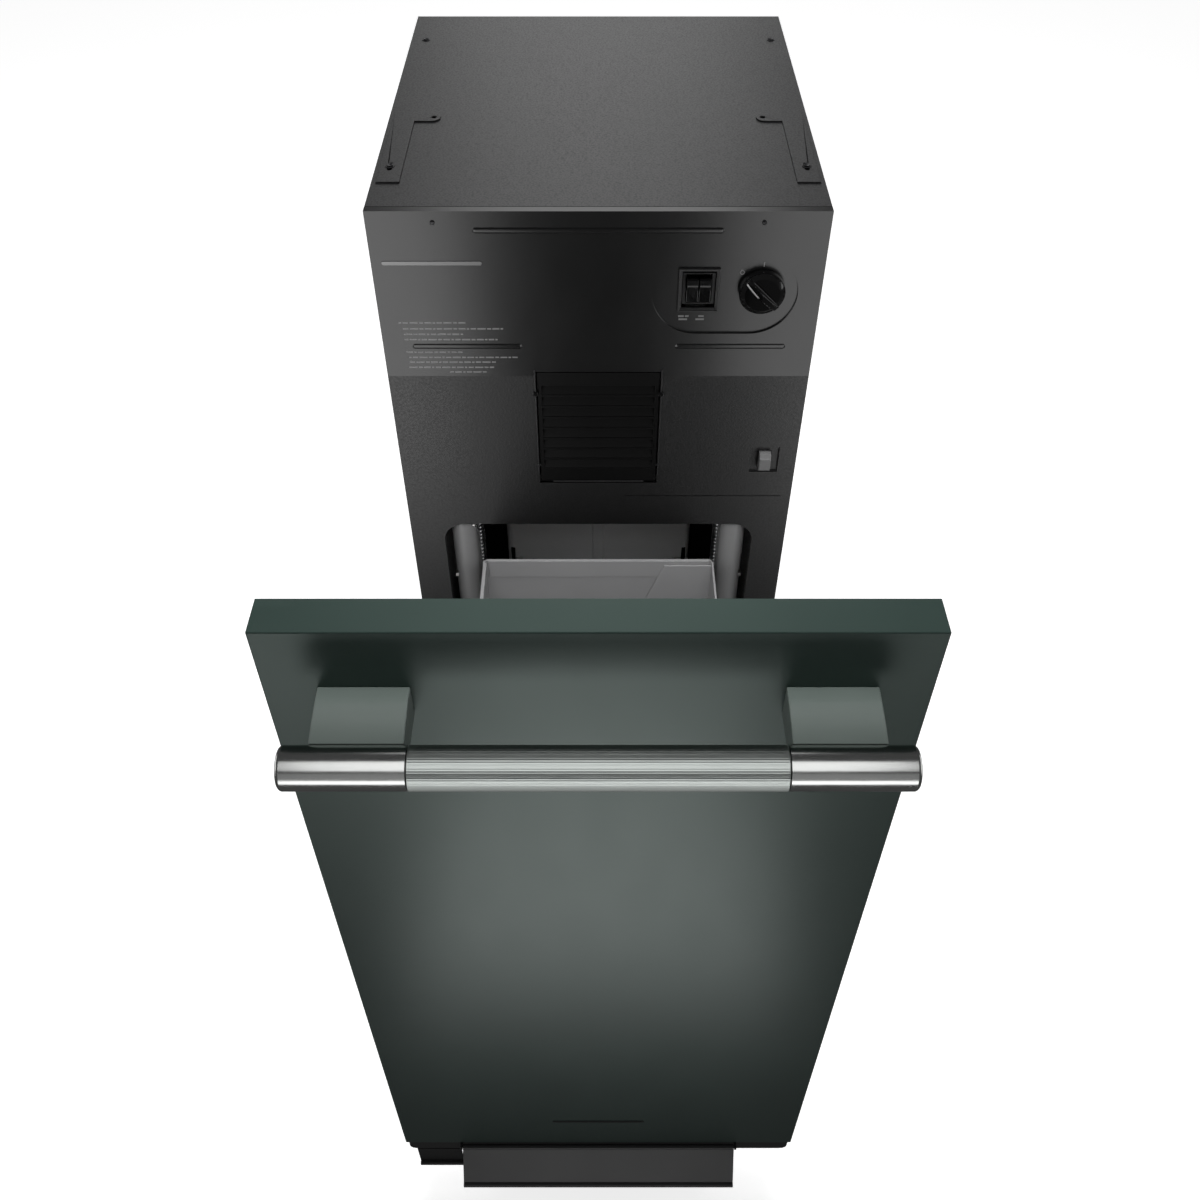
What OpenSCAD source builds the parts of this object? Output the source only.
// Slide-out kitchen waste compactor.
// A steel cabinet holds a full-extension drawer with a bin. A ram is pulled down into the bin by
// two power screws, which a motor turns through a belt and a chain. A toe bar opens the drawer
// and a foot pedal starts the ram.
// Millimetres. X to the right, Y towards the back, Z up from the floor. The drawer is drawn open.

/* [Cabinet] */
// Width of the cabinet and of the drawer front
cab_w = 380; // [378:1:384]
// Height from the floor to the top panel
cab_h = 867; // [864:1:872]
// Depth of the cabinet behind its front face
cab_d = 422; // [420:1:430]
// Thickness of the cabinet's sheet steel
sheet = 1.5; // [1.2:0.1:1.6]
// Height of the smooth control panel
control_h = 159.4; // [158:0.2:162]
// Height of the base pan's top above the floor
base_top = 62; // [60:1:63]

/* [Drawer opening] */
// Half width of the opening in the front frame
mouth_x = 157; // [155:1:158]
// Top of the opening above the floor
mouth_top = 528; // [526:1:530]
// Radius of the opening's upper corners
mouth_r = 22; // [16:1:24]

/* [Drawer] */
// How far the drawer slides
travel = 432; // [428:1:432]
// Gap between the closed drawer front and the cabinet
closed_gap = 1.5; // [1.5:0.1:2]
// Thickness of the drawer front
front_t = 25.6; // [25:0.2:27]
// Bottom edge of the drawer front above the floor
front_low = 121; // [120:1:122]
// Top edge of the drawer front below the cabinet top
front_drop = 2.6; // [2:0.2:3]
// Depth of the hollow in the back of the drawer front
front_hollow = 16; // [15.5:0.1:16]
// Length of each telescopic slide member
slide_len = 390; // [384:2:390]

/* [Handle] */
// Diameter of the handle bar
bar_d = 25.4; // [25:0.2:26]
// Length of the handle bar
bar_len = 348; // [344:1:350]
// Bar axis in front of the drawer face
bar_out = 46.3; // [46:0.1:48]
// Bar axis below the top edge of the drawer front
bar_drop = 58.7; // [56:0.1:60]
// Length of the fluted grip
grip_len = 207.2; // [204:0.4:208]
// Number of flutes round the grip
grip_flutes = 60; // [48:4:72]
// Width of each handle post
post_w = 52.6; // [50:0.2:54]
// Centre of each handle post from the middle
post_x = 132.4; // [132:0.2:134]

/* [Bin] */
// Outside width of the bin
bin_w = 230; // [228:1:230]
// Rim of the bin above the floor
bin_top = 511; // [508:1:512]
// Underside of the bin above the floor
bin_low = 106; // [106:0.5:107]
// Thickness of the bin's walls
bin_wall = 2; // [1.8:0.1:2]
// Depth of the folded hem round the rim
hem_h = 22; // [20:1:24]

/* [Ram and drive] */
// Travel of the ram
ram_stroke = 225; // [215:1:226]
// Underside of the ram plate at rest, above the floor
ram_low = 531; // [531:1:533]
// Centre of each power screw from the middle
screw_x = 152; // [151.5:0.1:152]
// Distance of the power screws behind the front face
screw_y = 210; // [206:1:212]
// Outer radius of the power screws
screw_r = 9; // [8:0.5:9]
// Underside of the drive deck above the floor
deck_z = 776; // [775:1:777]

/* [Controls] */
// Key knob centre from the middle
knob_x = 139; // [138:0.5:140]
// Key knob centre below the cabinet top
knob_drop = 72.7; // [72:0.1:73]
// Radius of the key knob
knob_r = 19.5; // [19:0.1:20]
// Resting tilt of each rocker
rocker_tilt = 8; // [6:1:9]
// Number of slats in the filter cover
slats = 8; // [7:1:8]

/* [Hidden] */

$fn = 64;
eps = 0.01;
// play round a shaft in its bore
running = 0.05;
half_w = cab_w / 2;
inner_x = half_w - sheet;
// the drawer front's back face stands this far in front of the cabinet when open
open_gap = travel + closed_gap;
front_reach = open_gap + front_t + bar_out + bar_d / 2;
// the part's origin lies midway between the handle bar and the cabinet's back
face_y = (front_reach - cab_d) / 2;
control_low = cab_h - control_h;
front_top = cab_h - front_drop;
bar_z = front_top - bar_drop;
bin_half = bin_w / 2;
bin_y0 = 8;
bin_y1 = 400;
tilt_x = bin_half - 5;
tilt_z = bin_low + 8;
knob_z = cab_h - knob_drop;
knob_angle = -45;
fillet_n = 8;

// colours
dark = [0.16, 0.16, 0.17];
steel = [0.55, 0.56, 0.58];
zinc = [0.72, 0.72, 0.70];
green = [0.27, 0.33, 0.31];
grey = [0.45, 0.45, 0.46];
black = [0.06, 0.06, 0.07];
copper = [0.62, 0.42, 0.22];

// y measured back from the cabinet's front face
module in_cabinet() translate([0, face_y, 0]) children();
// y measured back from the drawer front's back face, with the drawer open
module in_drawer() translate([0, face_y - open_gap, 0]) children();
module mirrored_pair() {
    children();
    mirror([1, 0, 0]) children();
}

module block(x0, x1, y0, y1, z0, z1) translate([x0, y0, z0]) cube([x1 - x0, y1 - y0, z1 - z0]);

// a flat plate standing across Y, outlined in X and Z
module upright(y0, y1) translate([0, y1, 0]) rotate([90, 0, 0]) linear_extrude(y1 - y0) children();

// a bar running along X, outlined in Y and Z
module along_x(x0, x1) translate([x0, 0, 0]) rotate([90, 0, 90]) linear_extrude(x1 - x0) children();

module rod_x(x0, x1, y, z, r) translate([x0, y, z]) rotate([0, 90, 0]) cylinder(h = x1 - x0, r = r);
module rod_y(x, y0, y1, z, r) translate([x, y0, z]) rotate([-90, 0, 0]) cylinder(h = y1 - y0, r = r);
module rod_z(x, y, z0, z1, r) translate([x, y, z0]) cylinder(h = z1 - z0, r = r);

module slot_outline(x0, x1, z, r) {
    translate([x0 + r, z - r]) square([x1 - x0 - 2 * r, 2 * r]);
    for (x = [x0 + r, x1 - r]) translate([x, z]) circle(r = r);
}

function arc(cx, cy, r, a0, a1, n = fillet_n) =
    [for (i = [0 : n]) let (a = a0 + (a1 - a0) * i / n) [cx + r * cos(a), cy + r * sin(a)]];

// ---------------------------------------------------------------- fasteners and their places
head_r = 4;
head_h = 1.6;
shank_r = 1.9;
shank_hole = 2.0;
shank_len = 6;
hole_reach = 8;
// rear screw, then the front screw that also holds the bracket
top_screws = [[175, 357], [177, 75.5]];
bracket_t = 1.5;
control_screw_x = 135;
control_screw_drop = 9.8;
side_screw_y = 88;
side_screw_z = cab_h - 9;
rear_screw_z = [80, 330, 600, 840];
rear_screw_x = half_w - 8;
rear_out = 2;
rear_y0 = cab_d - rear_out - sheet;
rear_y1 = cab_d - rear_out;

module top_screw_holes() mirrored_pair() for (p = top_screws)
    rod_z(p[0], p[1], cab_h - hole_reach, cab_h + hole_reach, shank_hole);
module control_screw_holes() mirrored_pair()
    rod_y(control_screw_x, -hole_reach, hole_reach, cab_h - control_screw_drop, shank_hole);
module side_screw_holes() mirrored_pair()
    rod_x(half_w - hole_reach, half_w + hole_reach, side_screw_y, side_screw_z, shank_hole);
module rear_screw_holes() mirrored_pair() for (z = rear_screw_z)
    rod_y(rear_screw_x, cab_d - hole_reach, cab_d + hole_reach, z, shank_hole);

// ---------------------------------------------------------------- cabinet
foot_x = 160;
foot_y = [35, 385];
foot_r = 16;
stem_r = 4.9;
stem_top = 46;
neck_r = 9;
pan_low = 20;
pan_t = 2;
pad_x = 26;
pad_y = 22;

module base_pan() color(dark) in_cabinet() difference() {
    union() {
        difference() {
            block(-inner_x, inner_x, sheet, rear_y0, pan_low, base_top);
            block(-inner_x + pan_t, inner_x - pan_t, sheet + pan_t, rear_y0 - pan_t,
                pan_low - 1, base_top - pan_t);
        }
        // pads that the feet screw into
        mirrored_pair() for (y = foot_y)
            block(foot_x - pad_x, inner_x - 1, y - pad_y, y + pad_y, pan_low, pan_low + pan_t);
    }
    mirrored_pair() for (y = foot_y)
        rod_z(foot_x, y, pan_low - 1, pan_low + pan_t + 1, stem_r + running);
}

module levelling_feet() color(black) in_cabinet() mirrored_pair() for (y = foot_y) {
    rod_z(foot_x, y, 0, 6, foot_r);
    translate([foot_x, y, 6]) cylinder(h = 5, r1 = foot_r, r2 = neck_r);
    rod_z(foot_x, y, 10, stem_top, stem_r);
    // lock nut
    translate([foot_x, y, 13]) cylinder(h = 6, r = neck_r, $fn = 6);
}

flange = 12.5;
side_rib_y = [110, 310];
side_rib_r = 4;
side_rib_out = 0.6;
side_rib_low = 120;
side_rib_high = cab_h - 90;

module side_panel() difference() {
    union() {
        block(inner_x, half_w, sheet, cab_d, pan_low, cab_h - sheet);
        // turned-in flanges at the front, the back and the top
        block(inner_x - flange, inner_x + eps, sheet, 2 * sheet, base_top, cab_h - sheet);
        block(inner_x - flange, inner_x + eps, rear_y0 - sheet, rear_y0, base_top, cab_h - sheet);
        block(inner_x - flange, inner_x + eps, sheet, rear_y0, cab_h - 2 * sheet, cab_h - sheet);
        // long pressed ribs that stiffen the side
        for (y = side_rib_y)
            rod_z(half_w + side_rib_out - side_rib_r, y, side_rib_low, side_rib_high, side_rib_r);
    }
    // the ribs are flat inside the sheet
    block(inner_x - 2 * side_rib_r, inner_x - eps, 20, cab_d - 20, base_top, cab_h - flange);
    top_screw_holes();
    side_screw_holes();
    rear_screw_holes();
}
module side_panel_right() color(dark) in_cabinet() side_panel();
module side_panel_left() color(dark) in_cabinet() mirror([1, 0, 0]) side_panel();

grommet_x = -100;
grommet_z = 96;
cord_hole_r = 12;
cord_flange_r = 15;
cord_r = 8;
rear_low = 24;
rear_high = cab_h - 3;
rear_rib_x = 150;
rear_rib_z = [250, 560];
rear_rib_r = 4;
rear_rib_out = 1.2;
motor_vents = 8;
motor_vent_x = [-62, 8];
motor_vent_z = 640;
motor_vent_pitch = 14;
motor_vent_len = 54;
motor_vent_r = 2.6;

module rear_panel() color(dark) in_cabinet() difference() {
    union() {
        block(-inner_x, inner_x, rear_y0, rear_y1, rear_low, rear_high);
        // two cross ribs pressed outwards
        for (z = rear_rib_z) intersection() {
            rod_x(-rear_rib_x, rear_rib_x, rear_y1 + rear_rib_out - rear_rib_r, z, rear_rib_r);
            block(-half_w, half_w, rear_y1 - eps, cab_d, z - rear_rib_r, z + rear_rib_r);
        }
    }
    for (i = [0 : motor_vents - 1], x = motor_vent_x)
        upright(rear_y0 - 1, rear_y1 + 1)
            slot_outline(x, x + motor_vent_len, motor_vent_z + i * motor_vent_pitch, motor_vent_r);
    rod_y(grommet_x, rear_y0 - 1, rear_y1 + 1, grommet_z, cord_hole_r);
    rear_screw_holes();
}

module cord_grommet() color(black) in_cabinet() difference() {
    union() {
        rod_y(grommet_x, rear_y0 - 2, rear_y0, grommet_z, cord_flange_r);
        rod_y(grommet_x, rear_y0 - eps, rear_y1 + eps, grommet_z, cord_hole_r);
        rod_y(grommet_x, rear_y1, rear_y1 + 1.8, grommet_z, cord_flange_r);
    }
    rod_y(grommet_x, rear_y0 - 3, rear_y1 + 3, grommet_z, cord_r);
}

liner_x = 136;
liner_y = 404;
liner_top = 560;
liner_r = 10;
liner_step = 1;
liner_rib = [9, 7.6, 2.5];
liner_slot = [125, 131, base_top + 8, base_top + 53];

// outline of the liner and its centre rib, drawn in by the thickness t
module liner_outline(t) polygon(concat(
    [[-liner_x + t, rear_y0 + (t > 0 ? liner_step : 0)], [-liner_x + t, liner_y + liner_r]],
    arc(-liner_x + liner_r, liner_y + liner_r, liner_r - t, 180, 270),
    [[-liner_rib[0] + t * 2 / 3, liner_y + t], [-liner_rib[1] + t * 4 / 5, liner_y + t - liner_rib[2]],
        [liner_rib[1] - t * 4 / 5, liner_y + t - liner_rib[2]], [liner_rib[0] - t * 2 / 3, liner_y + t]],
    arc(liner_x - liner_r, liner_y + liner_r, liner_r - t, 270, 360),
    [[liner_x - t, rear_y0 + (t > 0 ? liner_step : 0)]]));

module rear_liner() color(grey) in_cabinet() difference() {
    translate([0, 0, base_top]) linear_extrude(liner_top - base_top) difference() {
        liner_outline(0);
        liner_outline(sheet);
    }
    // upright slots near the foot
    mirrored_pair()
        block(liner_slot[0], liner_slot[1], liner_y - 3, liner_y + 12, liner_slot[2], liner_slot[3]);
}

seam_y = 7.4;
seam_gap = 0.6;
// centre of the bracket's inner end, and the hole there
lobe = [149, 172.5];
lobe_hole_r = 3.6;

module top_panel() color(dark) in_cabinet() difference() {
    block(-half_w, half_w, seam_y + seam_gap, cab_d, cab_h - sheet, cab_h);
    top_screw_holes();
    mirrored_pair() rod_z(lobe[0], lobe[1], cab_h - 4, cab_h + 1, lobe_hole_r);
}

ring_x0 = 46;
ring_x1 = 170;
ring_z = cab_h - 76;
ring_r = 39;
ring_deep = 2;
bezel = [68, 103, cab_h - 93, cab_h - 52];
bezel_w = 3;
knob_hole_r = 3.4;
vent_x = 57;
vent_low = 582;
vent_top = 712;
bead_out = 1.2;
bead_r = 3.6;
beads = [[-104, 104, cab_h - 16.8], [-165, -66.5, cab_h - 127.8], [67, 166, cab_h - 127.8]];

module bead(x0, x1, z) intersection() {
    translate([0, bead_r - bead_out, 0]) {
        rod_x(x0 + bead_r, x1 - bead_r, 0, z, bead_r);
        for (x = [x0 + bead_r, x1 - bead_r]) translate([x, 0, z]) sphere(r = bead_r);
    }
    block(x0 - 1, x1 + 1, -bead_out - 1, sheet, z - bead_r - 1, z + bead_r + 1);
}

module control_panel() color(dark) in_cabinet() difference() {
    union() {
        difference() {
            union() {
                block(-half_w, half_w, 0, sheet, control_low, cab_h);
                block(-half_w, half_w, 0, seam_y, cab_h - sheet, cab_h);
            }
            upright(-1, sheet + 1) slot_outline(ring_x0, ring_x1, ring_z, ring_r);
        }
        // the sunken field round the controls
        upright(ring_deep, ring_deep + sheet) slot_outline(ring_x0, ring_x1, ring_z, ring_r);
        difference() {
            upright(sheet - eps, ring_deep + sheet)
                slot_outline(ring_x0 - 1, ring_x1 + 1, ring_z, ring_r + 1);
            upright(0, ring_deep + 0.1) slot_outline(ring_x0, ring_x1, ring_z, ring_r);
        }
        for (b = beads) bead(b[0], b[1], b[2]);
    }
    control_screw_holes();
    // openings for the rocker switches, the key knob's shaft and the filter cover
    block(bezel[0] + bezel_w, bezel[1] - bezel_w, -1, 5, bezel[2] + bezel_w, bezel[3] - bezel_w);
    rod_y(knob_x, -1, 6, knob_z, knob_hole_r);
    block(-vent_x, vent_x, -1, 3, control_low - 1, vent_top);
}

interlock = [146, 173, 596, 626];
mouth_fold = 12;
seam_line = [26, 565, 566.2];

module mouth_outline(grow = 0) {
    x = mouth_x + grow;
    top = mouth_top + grow;
    r = mouth_r + grow;
    translate([-x, base_top - grow]) square([2 * x, top - base_top - r + grow]);
    translate([-x + r, base_top]) square([2 * x - 2 * r, top - base_top]);
    for (s = [-1, 1]) translate([s * (x - r), top - r]) circle(r = r);
}

module front_frame() color(dark) in_cabinet() {
    difference() {
        block(-half_w, half_w, 0, sheet, pan_low, control_low);
        upright(-1, sheet + 1) mouth_outline();
        block(-vent_x, vent_x, -1, sheet + 1, vent_low, control_low + 1);
        block(interlock[0], interlock[1], -1, sheet + 1, interlock[2], interlock[3]);
        // pressed seam line under the interlock
        block(seam_line[0], half_w - 10, -1, 0.6, seam_line[1], seam_line[2]);
    }
    // edge folded back round the opening
    difference() {
        upright(sheet - eps, mouth_fold) mouth_outline(sheet);
        upright(0, mouth_fold + 1) mouth_outline();
        block(-half_w, half_w, -1, mouth_fold + 1, base_top - 5, base_top);
    }
}

bracket_x = 166;
bracket_y = 47.5;
bracket_w = 20;
arm_w = 16;
bracket_slot = 5;

module bracket() difference() {
    translate([0, 0, cab_h]) linear_extrude(bracket_t) {
        translate([bracket_x, bracket_y]) square([bracket_w, lobe[1] + arm_w / 2 - bracket_y]);
        translate([lobe[0] + 2, lobe[1] - arm_w / 2]) square([bracket_w, arm_w]);
        translate([lobe[0] + 2, lobe[1]]) circle(r = arm_w / 2);
    }
    rod_z(lobe[0], lobe[1], cab_h - 1, cab_h + 3, 2.4);
    // slot for the front screw
    translate([top_screws[1][0], top_screws[1][1], cab_h - 1]) linear_extrude(4) {
        translate([-shank_hole, -bracket_slot]) square([2 * shank_hole, 2 * bracket_slot]);
        for (y = [-bracket_slot, bracket_slot]) translate([0, y]) circle(r = shank_hole);
    }
}
module countertop_brackets() color(dark) in_cabinet() mirrored_pair() bracket();

module screw_up() {
    cylinder(h = head_h, r = head_r);
    translate([0, 0, -shank_len]) cylinder(h = shank_len + eps, r = shank_r);
}
module case_screws() color(black) in_cabinet() mirrored_pair() {
    for (i = [0, 1]) translate([top_screws[i][0], top_screws[i][1], cab_h + i * bracket_t]) screw_up();
    translate([control_screw_x, 0, cab_h - control_screw_drop]) rotate([90, 0, 0]) screw_up();
    translate([half_w, side_screw_y, side_screw_z]) rotate([0, 90, 0]) screw_up();
    for (z = rear_screw_z) translate([rear_screw_x, rear_y1, z]) rotate([-90, 0, 0]) screw_up();
}

// ---------------------------------------------------------------- controls
module switch_bezel() color(black) in_cabinet() difference() {
    block(bezel[0], bezel[1], -0.4, ring_deep, bezel[2], bezel[3]);
    block(bezel[0] + bezel_w, bezel[1] - bezel_w, -2, 4, bezel[2] + bezel_w, bezel[3] - bezel_w);
}

rocker_z = (bezel[2] + bezel[3]) / 2;
rocker_mid = (bezel[0] + bezel[1]) / 2;
rocker_half = 11.5;
rocker_w = 9.8;
rocker_y = 8;
rocker_gap = 0.5;
rocker_pin_r = 1.5;
rocker_pin_x = 12.8;

module rocker_switch_body() color(black) in_cabinet() difference() {
    block(rocker_mid - 14, rocker_mid + 14, ring_deep + sheet, 26, rocker_z - 15, rocker_z + 15);
    block(rocker_mid - 11, rocker_mid + 11, 0, 18, rocker_z - 13.5, rocker_z + 13.5);
    rod_x(rocker_mid - 13, rocker_mid + 13, rocker_y, rocker_z, rocker_pin_r + running);
}

// a rocker with a shallow V face, lying with its upper half pressed in
module rocker(x0, x1, outer) translate([0, rocker_y, rocker_z]) rotate([rocker_tilt, 0, 0]) {
    along_x(x0, x1) polygon([[-8, -rocker_half], [-6.6, 0], [-8, rocker_half], [-4, rocker_half],
        [2, 4], [2, -4], [-4, -rocker_half]]);
    rod_x(min(x0, outer), max(x1, outer), 0, 0, rocker_pin_r);
}
module solid_pack_rocker() color(black) in_cabinet()
    rocker(rocker_mid - rocker_w - rocker_gap, rocker_mid - rocker_gap, rocker_mid - rocker_pin_x);
module air_filter_rocker() color(black) in_cabinet()
    rocker(rocker_mid + rocker_gap, rocker_mid + rocker_w + rocker_gap, rocker_mid + rocker_pin_x);

key_shaft_r = 3;
key_barrel_y = 30;

module key_switch_body() color(black) in_cabinet() difference() {
    union() {
        rod_y(knob_x, ring_deep + sheet, key_barrel_y, knob_z, 13);
        block(knob_x - 11, knob_x + 11, key_barrel_y - eps, 44, knob_z - 9, knob_z + 9);
    }
    rod_y(knob_x, 0, 20, knob_z, key_shaft_r + running);
}

knob_skirt = 4.5;
knob_ridge = 2.8;
dome_y = 19;

module key_knob() color(black) in_cabinet() translate([knob_x, 0, knob_z]) {
    // skirt, low dome and grip ridge
    rod_y(0, -knob_skirt, 1.4, 0, knob_r);
    intersection() {
        translate([0, dome_y, 0]) sphere(r = 30.2);
        rod_y(0, -12, -knob_skirt + eps, 0, knob_r - 0.4);
        rotate([0, knob_angle, 0]) union() {
            block(-knob_ridge, knob_ridge, -14, 0, -knob_r, knob_r);
            block(-knob_r, knob_r, -7.2, 0, -knob_r, knob_r);
        }
    }
    intersection() {
        rod_y(0, -13.4, -knob_skirt + 0.1, 0, knob_r - 0.6);
        translate([0, dome_y, 0]) sphere(r = 32.4);
        rotate([0, knob_angle, 0]) block(-knob_ridge, knob_ridge, -14, 0, -knob_r, knob_r);
    }
    rod_y(0, 0, 18, 0, key_shaft_r);
}

// ---------------------------------------------------------------- air filter behind the louvres
cover_x = vent_x - 1.5;
cover_low = vent_low + 2;
cover_top = vent_top - 1.5;
hinge_y = 5;
hinge_z = vent_low + 4.5;
hinge_pin_r = 1.5;
slat_pitch = 12.3;
slat_top = cab_h - 171.5;
slat_x = 52;
rail_t = 1.6;

module filter_cover() color(black) in_cabinet() {
    difference() {
        union() {
            block(-cover_x, cover_x, 1, 3.2, cover_low, cover_top);
            for (x = [-cover_x, cover_x - rail_t])
                block(x, x + rail_t, 1, 9, cover_low + 8, cover_top - 3);
            rod_x(-cover_x + 1, cover_x - 1, hinge_y, hinge_z, 2.4);
        }
        for (i = [0 : slats - 1]) let (z = slat_top - i * slat_pitch)
            block(-slat_x, slat_x, 0, 4, z - 9.6, z + 0.4);
        mirrored_pair() rod_x(cover_x - 9, cover_x + 1, hinge_y, hinge_z, hinge_pin_r + running);
    }
    // sloping slats
    for (i = [0 : slats - 1]) let (z = slat_top - i * slat_pitch)
        along_x(-slat_x - 0.5, slat_x + 0.5)
            polygon([[1.2, z - 9.4], [2.6, z - 9.4], [7.6, z + 1.4], [6.2, z + 1.4]]);
}

tray_x = 60;
tray_t = 2;
tray_y1 = 28;
fan_z = 645;
fan_r = 48;

module filter_tray() color(black) in_cabinet() {
    difference() {
        block(-tray_x, tray_x, 10.5, tray_y1, vent_low + 1, vent_top);
        block(-tray_x + tray_t, tray_x - tray_t, 10, tray_y1 - tray_t, vent_low + 1 + tray_t,
            vent_top - tray_t);
        rod_y(0, tray_y1 - tray_t - 1, tray_y1 + 1, fan_z, 40);
    }
    // ears with the cover's hinge pins
    mirrored_pair() {
        block(cover_x + 0.6, tray_x, sheet + 0.1, 11, vent_low + 1, vent_low + 9);
        rod_x(cover_x - 6, cover_x + 1, hinge_y, hinge_z, hinge_pin_r);
    }
}

module charcoal_filter() color([0.12, 0.12, 0.12]) in_cabinet() {
    difference() {
        block(-tray_x + 3, tray_x - 3, 12, 25, vent_low + 4, vent_top - 3);
        for (x = [-48 : 12 : 48]) block(x - 4.5, x + 4.5, 11, 14, vent_low + 12, vent_top - 11);
    }
}

fan_y0 = tray_y1;
fan_y1 = 74;
fan_wall = 2;
fan_shaft_r = 2.5;
fan_motor_y = 104;
wheel_r = 42;

module fan_housing() color(dark) in_cabinet() {
    difference() {
        union() {
            rod_y(0, fan_y0, fan_y1, fan_z, fan_r + fan_wall);
            block(20, fan_r + fan_wall, fan_y0 + 2, fan_y1 - 2, fan_z, fan_z + 68);
        }
        rod_y(0, fan_y0 + fan_wall, fan_y1 - fan_wall, fan_z, fan_r);
        rod_y(0, fan_y0 - 1, fan_y0 + 3, fan_z, 34);
        block(20 + fan_wall, fan_r, fan_y0 + 4, fan_y1 - 4, fan_z, fan_z + 70);
        rod_y(0, fan_y1 - 4, fan_y1 + 1, fan_z, fan_shaft_r + 0.1);
    }
    // fan motor on the back plate
    difference() {
        rod_y(0, fan_y1, fan_motor_y, fan_z, 20);
        rod_y(0, fan_y1 - 4, fan_motor_y - 8, fan_z, fan_shaft_r + running);
    }
}

// a back disc and a front ring with 24 tilted blades between them
module fan_impeller() color(steel) in_cabinet() {
    rod_y(0, fan_y1 - 8, fan_y1 - 6, fan_z, wheel_r);
    rod_y(0, fan_y1 - 24, fan_y1 - 8 + eps, fan_z, 10);
    rod_y(0, fan_y1 - 14, fan_motor_y - 10, fan_z, fan_shaft_r);
    for (a = [0 : 15 : 345]) translate([0, 0, fan_z]) rotate([0, a, 0]) translate([0, 0, wheel_r - 12])
        rotate([0, 28, 0]) block(-0.8, 0.8, fan_y0 + 10, fan_y1 - 8 + eps, 0, 11);
    difference() {
        rod_y(0, fan_y0 + 8, fan_y0 + 10 + eps, fan_z, wheel_r);
        rod_y(0, fan_y0 + 7, fan_y0 + 11, fan_z, wheel_r - 11);
    }
}

// ---------------------------------------------------------------- drawer interlock
tab_x = (interlock[0] + interlock[1]) / 2;
tab_z = 610;
tab_half = 5.5;
tab_rod_r = 3;
guide_y = 24;

module interlock_housing() color(black) in_cabinet() {
    difference() {
        block(interlock[0] - 1, interlock[1] + 1, sheet, guide_y, interlock[2] - 1, interlock[3] + 1);
        block(interlock[0] + 0.4, interlock[1] - 0.4, 0, guide_y - sheet, interlock[2] + 0.4,
            interlock[3] - 0.4);
        rod_y(tab_x, guide_y - 4, guide_y + 1, tab_z, tab_rod_r + running);
    }
    // switch block
    difference() {
        block(tab_x - 9.5, tab_x + 9.5, guide_y - eps, guide_y + 26, tab_z - 8, tab_z + 12);
        rod_y(tab_x, guide_y - 4, guide_y + 20, tab_z, tab_rod_r + running);
    }
}

module interlock_plunger() color(grey) in_cabinet() {
    along_x(tab_x - tab_half, tab_x + tab_half) polygon([[-6.5, tab_z - 7], [-6.5, tab_z + 6],
        [-3, tab_z + 10.5], [14, tab_z + 10.5], [14, tab_z - 10.5], [-3, tab_z - 10.5]]);
    rod_y(tab_x, 13, guide_y + 10, tab_z, tab_rod_r);
}

// ---------------------------------------------------------------- guards and slides
column_x = 140;
column_y = 28;
column_r = 13;
column_back = 17;
column_top = 585;

module guard_column() difference() {
    union() {
        rod_z(column_x, column_y, base_top, column_top, column_r);
        block(column_x - column_r, column_x + column_r, column_y, column_y + column_back,
            base_top, column_top);
    }
    rod_z(column_x, column_y, base_top - 1, column_top + 1, column_r - sheet);
    block(column_x - column_r + sheet, column_x + column_r - sheet, column_y,
        column_y + column_back + 1, base_top - 1, column_top + 1);
}
module guard_columns() color(steel) in_cabinet() mirrored_pair() guard_column();

slide_y0 = 8;
slide_t = 1.5;
slide_h = 40;
// each member is this much narrower at the top and the bottom than the one outside it
slide_step = 5;

// a channel with its web at x_web; lips reach to x_lip
module channel(x_web, x_lip, z0, z1, y0) {
    x0 = min(x_web, x_lip);
    x1 = max(x_web, x_lip);
    web0 = x_web > x_lip ? x_web - slide_t : x_web;
    block(web0, web0 + slide_t, y0, y0 + slide_len, z0, z1);
    block(x0, x1, y0, y0 + slide_len, z0, z0 + slide_t);
    block(x0, x1, y0, y0 + slide_len, z1 - slide_t, z1);
}
slide_z0 = base_top;
slide_z1 = slide_z0 + slide_h;
module slide_outer() channel(122.5, 113, slide_z0, slide_z1, slide_y0);
module slide_middle()
    channel(117, 104, slide_z0 + slide_step, slide_z1 - slide_step, slide_y0 - travel / 2);
module slide_inner()
    channel(100.5, 113, slide_z0 + 2 * slide_step, slide_z1 - 2 * slide_step, slide_y0 - travel);

module slide_outer_right() color(zinc) in_cabinet() slide_outer();
module slide_outer_left() color(zinc) in_cabinet() mirror([1, 0, 0]) slide_outer();
module slide_middle_right() color(zinc) in_cabinet() slide_middle();
module slide_middle_left() color(zinc) in_cabinet() mirror([1, 0, 0]) slide_middle();
module slide_inner_right() color(zinc) in_cabinet() slide_inner();
module slide_inner_left() color(zinc) in_cabinet() mirror([1, 0, 0]) slide_inner();

ball_r = 1.4;
ball_pitch = 44;
// height of the balls inside a member's edge
ball_in = slide_t + (slide_step - slide_t) / 2;
module ball(x, y, z) translate([x, y, z]) sphere(r = ball_r, $fn = 24);
module slide_balls() color(steel) in_cabinet() mirrored_pair() for (i = [0 : 3]) {
    for (z = [slide_z0 + ball_in, slide_z1 - ball_in]) ball(115, 25 + ball_pitch * i, z);
    for (z = [slide_z0 + slide_step + ball_in, slide_z1 - slide_step - ball_in])
        ball(108.5, -60 - ball_pitch * i, z);
}

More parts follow.
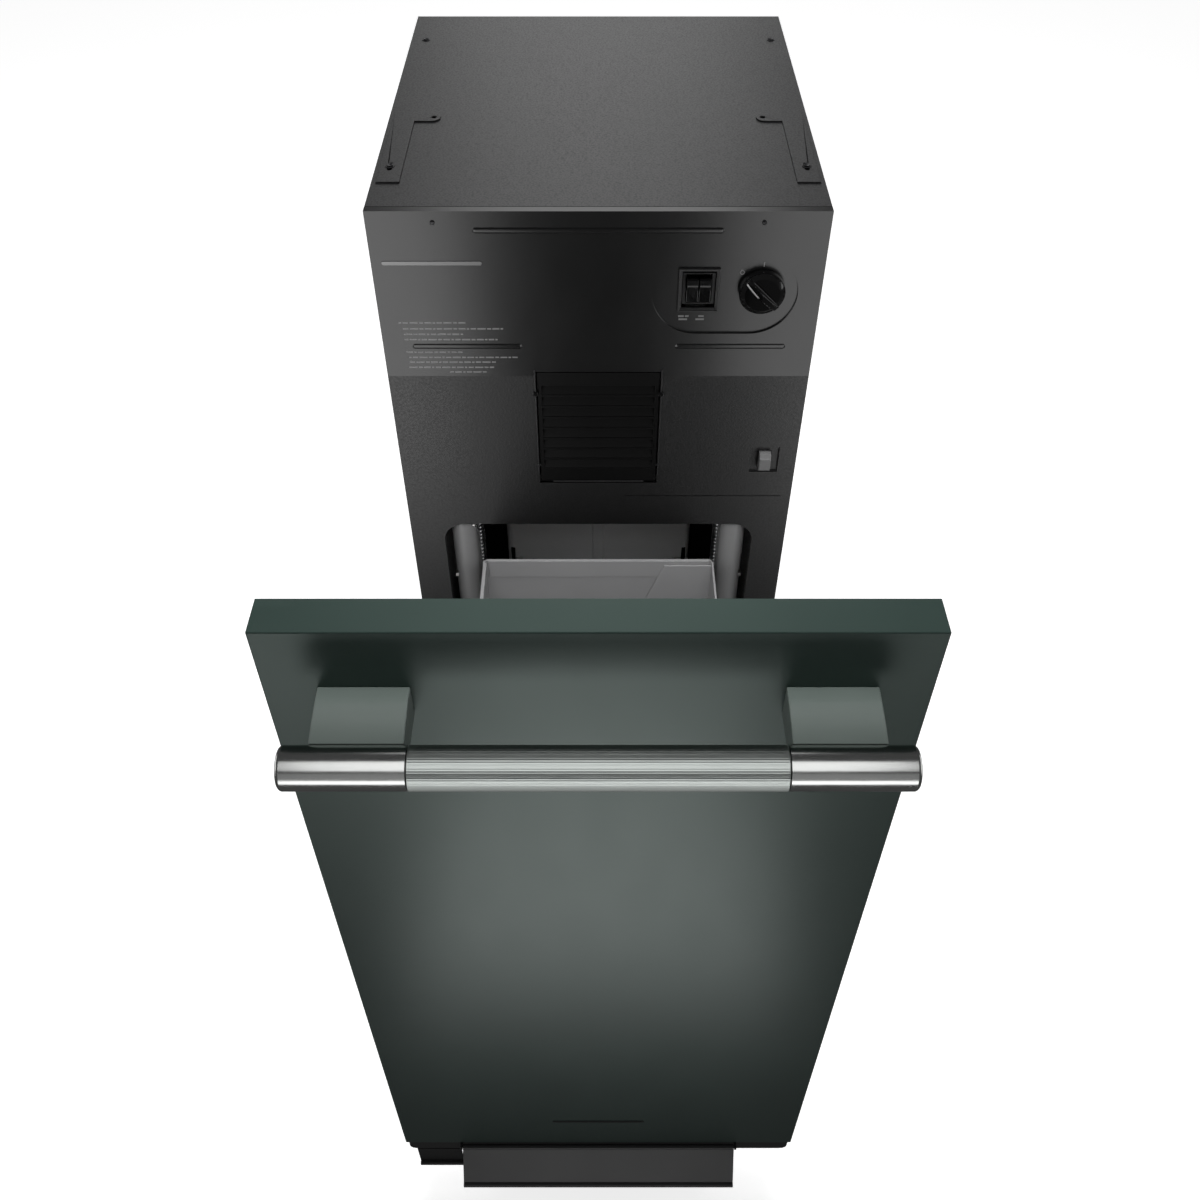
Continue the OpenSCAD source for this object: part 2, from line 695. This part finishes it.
// ---------------------------------------------------------------- drive
deck_t = 3;
deck_top = deck_z + deck_t;
deck_x = inner_x - 2 * eps;
deck_y0 = 46;
deck_y1 = cab_d - 6;
deck_lip = 20;
boss_r = 13.9;
hub_r = 10;
hub_hole_r = 16;
foot_block = 17;
foot_block_h = 18;
chain_z = deck_top + 21;
belt_z = deck_top + 9;
drive_y = 262;
motor_y = 345;
shaft_r = 6;
drive_pulley_r = 50;
motor_pulley_r = 14;
screw_teeth = 28;
drive_teeth = 14;
chain_pitch = 6.283;
sprocket_t = 5;
rim_half = 5;
screw_sprocket_r = screw_teeth * chain_pitch / (2 * PI);
drive_sprocket_r = drive_teeth * chain_pitch / (2 * PI);

module drive_deck() color(dark) in_cabinet() difference() {
    union() {
        block(-deck_x, deck_x, deck_y0, deck_y1, deck_z, deck_top);
        mirrored_pair() block(deck_x - deck_t, deck_x, deck_y0, deck_y1, deck_z - deck_lip, deck_z + eps);
    }
    mirrored_pair() rod_z(screw_x, screw_y, deck_z - 1, deck_top + 1, boss_r + 0.1);
    rod_z(0, drive_y, deck_z - 1, deck_top + 1, hub_r);
    rod_z(0, motor_y, deck_z - 1, deck_top + 1, hub_hole_r);
}

// a sprocket with plain trapezoid teeth cut just inside its chain
module sprocket(teeth, r, h) linear_extrude(h) polygon([for (i = [0 : teeth - 1])
    for (p = [[-0.34, r - 2.6], [-0.14, r], [0.14, r], [0.34, r - 2.6]])
        let (a = 360 * (i + p[0]) / teeth) [p[1] * cos(a), p[1] * sin(a)]]);

module power_screw() {
    rod_z(screw_x, screw_y, base_top + 2, chain_z + 12, screw_r);
    translate([screw_x, screw_y, chain_z - sprocket_t / 2])
        sprocket(screw_teeth, screw_sprocket_r, sprocket_t);
    rod_z(screw_x, screw_y, deck_top + 12.5, chain_z + 6, 14);
}
module power_screw_right() color(steel) in_cabinet() power_screw();
module power_screw_left() color(steel) in_cabinet() mirror([1, 0, 0]) power_screw();

module shaft_bearings() color(copper) in_cabinet() {
    mirrored_pair() {
        // foot bearing
        difference() {
            block(screw_x - foot_block, screw_x + foot_block, screw_y - foot_block,
                screw_y + foot_block, base_top, base_top + foot_block_h);
            rod_z(screw_x, screw_y, base_top - 1, base_top + foot_block_h + 1, screw_r + running);
        }
        // flanged bearing on the deck
        difference() {
            union() {
                rod_z(screw_x, screw_y, deck_top, deck_top + 4, 24);
                rod_z(screw_x, screw_y, deck_z, deck_top + 12, boss_r);
            }
            rod_z(screw_x, screw_y, deck_z - 1, deck_top + 13, screw_r + running);
        }
    }
    difference() {
        union() {
            rod_z(0, drive_y, deck_z - 4, deck_z, 22);
            rod_z(0, drive_y, deck_z - 22, deck_z - 4 + eps, 13);
        }
        rod_z(0, drive_y, deck_z - 23, deck_top, shaft_r + running);
    }
}

module drive_pulley() color(steel) in_cabinet() {
    rod_z(0, drive_y, deck_z - 20, chain_z + 10, shaft_r);
    difference() {
        rod_z(0, drive_y, belt_z - rim_half, belt_z + rim_half, drive_pulley_r);
        // holes that lighten the web
        for (a = [0 : 60 : 300]) translate([0, drive_y, 0]) rotate([0, 0, a])
            rod_z(31, 0, belt_z - rim_half - 1, belt_z + rim_half + 1, 10);
    }
    rod_z(0, drive_y, belt_z, chain_z, hub_r);
    translate([0, drive_y, chain_z - sprocket_t / 2])
        sprocket(drive_teeth, drive_sprocket_r, sprocket_t);
}

module motor_pulley() color(steel) in_cabinet() {
    rod_z(0, motor_y, deck_z - 16, belt_z + 8, shaft_r);
    rod_z(0, motor_y, belt_z - rim_half, belt_z + rim_half, motor_pulley_r);
}

motor_r = 58;
motor_low = 622;
motor_top = deck_z - 8;
slot_deep = 3;

module motor() color(dark) in_cabinet() difference() {
    union() {
        rod_z(0, motor_y, motor_low, motor_top, motor_r);
        rod_z(0, motor_y, motor_low - 6, motor_low + eps, 24);
        rod_z(0, motor_y, motor_top - eps, deck_z - 4, 30);
        // four mounting lugs up to the deck
        for (a = [45 : 90 : 315]) translate([0, motor_y, 0]) rotate([0, 0, a])
            rod_z(motor_r - 10, 0, motor_top - eps, deck_z, 7);
    }
    rod_z(0, motor_y, deck_z - 40, deck_z, shaft_r + running);
    // cooling slots
    for (a = [0 : 30 : 330]) translate([0, motor_y, 0]) rotate([0, 0, a])
        block(motor_r - slot_deep, motor_r + 1, -3, 3, motor_low + 20, deck_z - 40);
}

belt_gap = 0.35;
belt_t = 3;
belt_half = 4;
chain_t = 5.5;

// a closed band round circles, each [x, y, radius]
module band(circles, gap, thick, z0, z1) translate([0, 0, z0]) linear_extrude(z1 - z0) difference() {
    hull() for (c = circles) translate([c[0], c[1]]) circle(r = c[2] + gap + thick);
    hull() for (c = circles) translate([c[0], c[1]]) circle(r = c[2] + gap);
}

module drive_belt() color(black) in_cabinet()
    band([[0, drive_y, drive_pulley_r], [0, motor_y, motor_pulley_r]], belt_gap, belt_t,
        belt_z - belt_half, belt_z + belt_half);

module drive_chain() color(steel) in_cabinet()
    band([[0, drive_y, drive_sprocket_r], [screw_x, screw_y, screw_sprocket_r],
        [-screw_x, screw_y, screw_sprocket_r]], belt_gap, chain_t, chain_z - belt_half,
        chain_z + belt_half);

// ---------------------------------------------------------------- ram
ram_x = 106;
ram_y0 = 15;
ram_y1 = 385;
// the yoke stays this far above the bin's rim at the bottom of the stroke
yoke_clear = 9;
yoke_low = bin_top + yoke_clear + ram_stroke;
yoke_high = yoke_low + 20;
yoke_half = 25;
yoke_t = 4;
mast_x = 50;
plate_t = 8;
plate_rim = 20;
rim_t = 3;
plate_rib_x = 70;
nut_r = 16;

module ram_plate() color(steel) in_cabinet() {
    block(-ram_x, ram_x, ram_y0, ram_y1, ram_low, ram_low + plate_t);
    // upturned rim and stiffening ribs
    difference() {
        block(-ram_x, ram_x, ram_y0, ram_y1, ram_low, ram_low + plate_rim);
        block(-ram_x + rim_t, ram_x - rim_t, ram_y0 + rim_t, ram_y1 - rim_t,
            ram_low + plate_t - 1, ram_low + plate_rim + 1);
    }
    for (x = [-plate_rib_x, plate_rib_x])
        block(x - 2, x + 2, ram_y0 + 2, ram_y1 - 2, ram_low + plate_t - 1, ram_low + plate_rim - 2);
}

module ram_yoke() color(steel) in_cabinet() {
    // hollow column standing on the plate
    difference() {
        block(-mast_x, mast_x, screw_y - yoke_half, screw_y + yoke_half,
            ram_low + plate_t, yoke_low + eps);
        block(-mast_x + yoke_t, mast_x - yoke_t, screw_y - yoke_half + yoke_t,
            screw_y + yoke_half - yoke_t, ram_low + plate_t - 1, yoke_low + 1);
    }
    // cross beam that carries the nuts
    difference() {
        block(-screw_x - 21, screw_x + 21, screw_y - yoke_half, screw_y + yoke_half,
            yoke_low, yoke_high);
        mirrored_pair() rod_z(screw_x, screw_y, yoke_low - 1, yoke_high + 1, nut_r);
        block(-mast_x + 6, mast_x - 6, screw_y - yoke_half + 6, screw_y + yoke_half - 6,
            yoke_low - 1, yoke_low + 14);
    }
}

module power_nuts() color(copper) in_cabinet() mirrored_pair() difference() {
    union() {
        rod_z(screw_x, screw_y, yoke_low - 4, yoke_low, nut_r + 5);
        rod_z(screw_x, screw_y, yoke_low - eps, yoke_high + 6, nut_r);
    }
    rod_z(screw_x, screw_y, yoke_low - 5, yoke_high + 7, screw_r + running);
}

module limit_switches() color(black) in_cabinet() {
    // top of stroke, under the deck
    block(88, 118, 150, 168, deck_z - 14, deck_z);
    block(96, 99, 168 - eps, 182, deck_z - 10, deck_z - 8);
    // start switch behind the pedal
    block(-182, -160, 8, 24, base_top, base_top + 20);
}

// ---------------------------------------------------------------- drawer front
skin_t = 1.2;
handle_screw_r = 3;

module drawer_front_skin() color(green) in_drawer() difference() {
    block(-half_w, half_w, -front_t, 0, front_low, front_top);
    block(-half_w + skin_t, half_w - skin_t, -front_t + skin_t, 1, front_low + skin_t,
        front_top - skin_t);
    for (x = [-post_x, post_x]) rod_y(x, -front_t - 1, -front_t + 3, bar_z, handle_screw_r + 0.2);
}

ring_w = 10;

module drawer_inner_panel() color(dark) in_drawer() difference() {
    block(-half_w + skin_t, half_w - skin_t, -front_hollow - sheet, -0.4, front_low + skin_t,
        front_top - skin_t);
    block(-half_w + skin_t + ring_w, half_w - skin_t - ring_w, -front_hollow, 1,
        front_low + skin_t + ring_w, front_top - skin_t - ring_w);
}

shelf_x = 118;
shelf_y1 = 398;
shelf_t = 2;
shelf_lip_z = 150;

// the bin's shelf, its upturned lip, and the flanges that carry the inner slide members
module drawer_base() color(dark) in_drawer() {
    block(-shelf_x, shelf_x, -21.5, shelf_y1, bin_low - shelf_t, bin_low);
    block(-shelf_x + 6, shelf_x - 6, 0.5, 2, bin_low - eps, shelf_lip_z);
    mirrored_pair() block(98.5, 98.5 + shelf_t, 10, shelf_y1, slide_z0 + 2 * slide_step,
        bin_low - shelf_t + eps);
}

strip_x = half_w - 2;
strip_low = 98;
toe_x = 134;
toe_y = -27.4;
toe_z = 114.5;
pedal_y = -6;
pedal_z = 91.5;
pedal_x0 = -182;
pedal_x1 = -138;
toe_pin_r = 1.2;
pedal_pin_r = 1.5;
strip_y0 = -23;
strip_r = 7;

module base_strip() color(dark) in_drawer() {
    difference() {
        block(-strip_x, strip_x, strip_y0, -1, strip_low, front_low);
        block(-strip_x + sheet, strip_x - sheet, strip_y0 + sheet, 0, strip_low + sheet,
            front_low - sheet);
        // rounded lower corners
        mirrored_pair() difference() {
            block(strip_x - strip_r, strip_x + 1, strip_y0 - 1, 0, strip_low - 1, strip_low + strip_r);
            rod_y(strip_x - strip_r, strip_y0 - 2, 1, strip_low + strip_r, strip_r);
        }
    }
    // toe bar pins on ears
    mirrored_pair() {
        block(toe_x + 0.5, toe_x + 2.5, toe_y - 2.2, strip_y0 + eps, toe_z - 2.5, toe_z + 3);
        rod_x(toe_x - 6, toe_x + 1, toe_y, toe_z, toe_pin_r);
    }
    // start pedal pins on hangers
    for (x = [pedal_x0 - 2.5, pedal_x1 + 0.5])
        block(x, x + 2, pedal_y - 4, pedal_y + 4, pedal_z - 4, strip_low + 3);
    rod_x(pedal_x0 - 1, pedal_x0 + 6, pedal_y, pedal_z, pedal_pin_r);
    rod_x(pedal_x1 - 6, pedal_x1 + 1, pedal_y, pedal_z, pedal_pin_r);
}

// ---------------------------------------------------------------- handle
bar_y = -front_t - bar_out;
post_h = 24;
// the posts stand this far above the bar's axis
post_up = 2;

module handle_posts() color(green) in_drawer() difference() {
    for (x = [-post_x, post_x])
        block(x - post_w / 2, x + post_w / 2, bar_y + 1, -front_t, bar_z - post_h / 2 + post_up,
            bar_z + post_h / 2 + post_up);
    rod_x(-half_w, half_w, bar_y, bar_z, bar_d / 2);
    for (x = [-post_x, post_x]) rod_y(x, bar_y, 0, bar_z, handle_screw_r + 0.05);
}

core_r = bar_d / 2 - 1.6;
end_r = 2.5;

module handle_bar() color(steel) in_drawer() difference() {
    translate([0, bar_y, bar_z]) rotate([0, 90, 0]) rotate_extrude() polygon(concat(
        [[0, -bar_len / 2]],
        arc(bar_d / 2 - end_r, -bar_len / 2 + end_r, end_r, -90, 0),
        [[bar_d / 2, -grip_len / 2], [core_r, -grip_len / 2], [core_r, grip_len / 2],
            [bar_d / 2, grip_len / 2]],
        arc(bar_d / 2 - end_r, bar_len / 2 - end_r, end_r, 0, 90),
        [[0, bar_len / 2]]));
    for (x = [-post_x, post_x]) rod_y(x, bar_y + 2, 0, bar_z, handle_screw_r);
}

module handle_grip() color(steel) in_drawer() translate([-grip_len / 2 + 0.4, bar_y, bar_z])
    rotate([0, 90, 0]) linear_extrude(grip_len - 0.8) difference() {
        polygon([for (i = [0 : 2 * grip_flutes - 1]) let (a = 180 * i / grip_flutes,
            r = bar_d / 2 - (i % 2) * 0.5) [r * cos(a), r * sin(a)]]);
        circle(r = core_r);
    }

module handle_screws() color(zinc) in_drawer() for (x = [-post_x, post_x]) {
    rod_y(x, bar_y + 2, -front_t + skin_t, bar_z, handle_screw_r);
    rod_y(x, -front_t + skin_t, -front_t + skin_t + 4, bar_z, 6);
}

// ---------------------------------------------------------------- bin
hem_t = 1.5;
rim_r = 5;
hem_stop = bin_half - rim_r;
pin_r = 2;
latch_x = bin_half + 4.5;
latch_z = 480;
latch_guide_y = [15, 62];
bolt_r = 2.5;
window = bolt_r + 0.6;

module bin_shell() color(grey) in_drawer() {
    difference() {
        block(-bin_half, bin_half, bin_y0, bin_y1, bin_low, bin_top);
        block(-bin_half + bin_wall, bin_half + 1, bin_y0 + bin_wall, bin_y1 - bin_wall,
            bin_low + bin_wall, bin_top + 1);
        rod_y(tilt_x, bin_y0 - 1, bin_y1 + 1, tilt_z, pin_r + running);
        // rounded upper corners of the front and rear walls
        mirrored_pair() difference() {
            block(bin_half - rim_r, bin_half + 1, bin_y0 - 1, bin_y1 + 1, bin_top - rim_r, bin_top + 1);
            rod_y(bin_half - rim_r, bin_y0 - 2, bin_y1 + 2, bin_top - rim_r, rim_r);
            block(0, bin_half + 2, bin_y0 + bin_wall, bin_y1 - bin_wall, 0, cab_h);
        }
    }
    // folded hem
    for (y = [bin_y0 + bin_wall - eps, bin_y1 - bin_wall - hem_t])
        block(-hem_stop, hem_stop, y, y + hem_t + eps, bin_top - hem_h, bin_top);
    block(-bin_half + bin_wall - eps, -bin_half + bin_wall + hem_t, bin_y0 + 6, bin_y1 - 6,
        bin_top - hem_h, bin_top);
}

// plate on the front wall with a square window for the latch bolt
keeper_t = 2;
module latch_keeper() color(zinc) in_drawer() difference() {
    block(bin_half - 15, latch_x + 6, bin_y0 - keeper_t, bin_y0, latch_z - 7, latch_z + 7);
    block(latch_x - window, latch_x + window, bin_y0 - keeper_t - 1, bin_y0 + 1,
        latch_z - window, latch_z + window);
}

gusset_t = 1.2;
gusset_y0 = bin_y0 + bin_wall + hem_t + 0.3;
gusset_y1 = bin_y1 - bin_wall - hem_t - 0.3;
panel_x = bin_half - bin_wall;

module gusset_outline() polygon([[panel_x + eps, bin_top - 5], [66, bin_top - 5], [45, bin_top - 62],
    [56, 300], [tilt_x - 4, 130], [panel_x + eps, 130]]);

module bin_side_panel() color(grey) in_drawer() {
    block(panel_x, bin_half, gusset_y0, gusset_y1, tilt_z + 2, bin_top);
    block(tilt_x, bin_half, gusset_y0, gusset_y1, tilt_z + 1, tilt_z + 3);
    difference() {
        rod_y(tilt_x, bin_y0 + bin_wall + 0.5, bin_y1 - bin_wall - 0.5, tilt_z, 3.4);
        block(tilt_x - 5, tilt_x + 5, bin_y0, bin_y1, tilt_z - 5, tilt_z - 3.2);
    }
    rod_y(tilt_x, bin_y0, bin_y1, tilt_z, pin_r);
    upright(gusset_y0, gusset_y0 + gusset_t) gusset_outline();
    upright(gusset_y1 - gusset_t, gusset_y1) gusset_outline();
    // guides for the sliding latch bolt
    difference() {
        for (y = latch_guide_y)
            block(bin_half - eps, latch_x + 4.5, y, y + 3, latch_z - 6, latch_z + 6);
        rod_y(latch_x, 10, 70, latch_z, bolt_r + running);
    }
}

// the bolt lies drawn back; sliding it forward locks the side to the keeper
module bin_latch() color(black) in_drawer() {
    rod_y(latch_x, 14, 74, latch_z, bolt_r);
    block(latch_x - 2, latch_x + 6.2, 40, 46, latch_z - 4, latch_z + 4);
}

// ---------------------------------------------------------------- foot controls
toe_run = 23;
toe_fall = 35;
lip_r = 3.5;
pedal_front = -22;
pedal_foot = 57;
pedal_t = 2.4;

module toe_bar() color(grey) in_drawer() difference() {
    union() {
        rod_x(-toe_x, toe_x, toe_y, toe_z, 2.6);
        along_x(-toe_x, toe_x) polygon([[toe_y - 1, toe_z + 2], [toe_y + 1.2, toe_z],
            [toe_y - toe_run + 1.2, toe_z - toe_fall], [toe_y - toe_run - 1.2, toe_z - toe_fall + 1.4]]);
        rod_x(-toe_x, toe_x, toe_y - toe_run, toe_z - toe_fall, lip_r);
    }
    for (x = [-toe_x - 1, toe_x - 7]) rod_x(x, x + 8, toe_y, toe_z, toe_pin_r + running);
}

module start_pedal() color(dark) in_drawer() difference() {
    union() {
        rod_x(pedal_x0, pedal_x1, pedal_y, pedal_z, 3.4);
        along_x(pedal_x0, pedal_x1) polygon([[pedal_y, pedal_z + 2], [pedal_front, pedal_z + 2],
            [pedal_front, pedal_foot], [pedal_front + pedal_t, pedal_foot],
            [pedal_front + pedal_t, pedal_z - 1], [pedal_y, pedal_z - 1]]);
        rod_x(pedal_x0, pedal_x1, pedal_front - 0.6, pedal_foot + 1.6, 3);
    }
    rod_x(pedal_x0 - 1, pedal_x0 + 7, pedal_y, pedal_z, pedal_pin_r + running);
    rod_x(pedal_x1 - 7, pedal_x1 + 1, pedal_y, pedal_z, pedal_pin_r + running);
}

base_pan();
levelling_feet();
side_panel_left();
side_panel_right();
rear_panel();
rear_liner();
top_panel();
control_panel();
front_frame();
countertop_brackets();
case_screws();
cord_grommet();
switch_bezel();
key_switch_body();
rocker_switch_body();
key_knob();
solid_pack_rocker();
air_filter_rocker();
filter_cover();
filter_tray();
charcoal_filter();
fan_housing();
fan_impeller();
interlock_housing();
interlock_plunger();
guard_columns();
slide_outer_left();
slide_outer_right();
slide_middle_left();
slide_middle_right();
slide_balls();
slide_inner_left();
slide_inner_right();
drive_deck();
motor();
motor_pulley();
drive_pulley();
drive_belt();
drive_chain();
power_screw_left();
power_screw_right();
shaft_bearings();
ram_plate();
ram_yoke();
power_nuts();
limit_switches();
drawer_front_skin();
drawer_inner_panel();
drawer_base();
base_strip();
handle_posts();
handle_bar();
handle_grip();
handle_screws();
bin_shell();
latch_keeper();
bin_side_panel();
bin_latch();
toe_bar();
start_pedal();
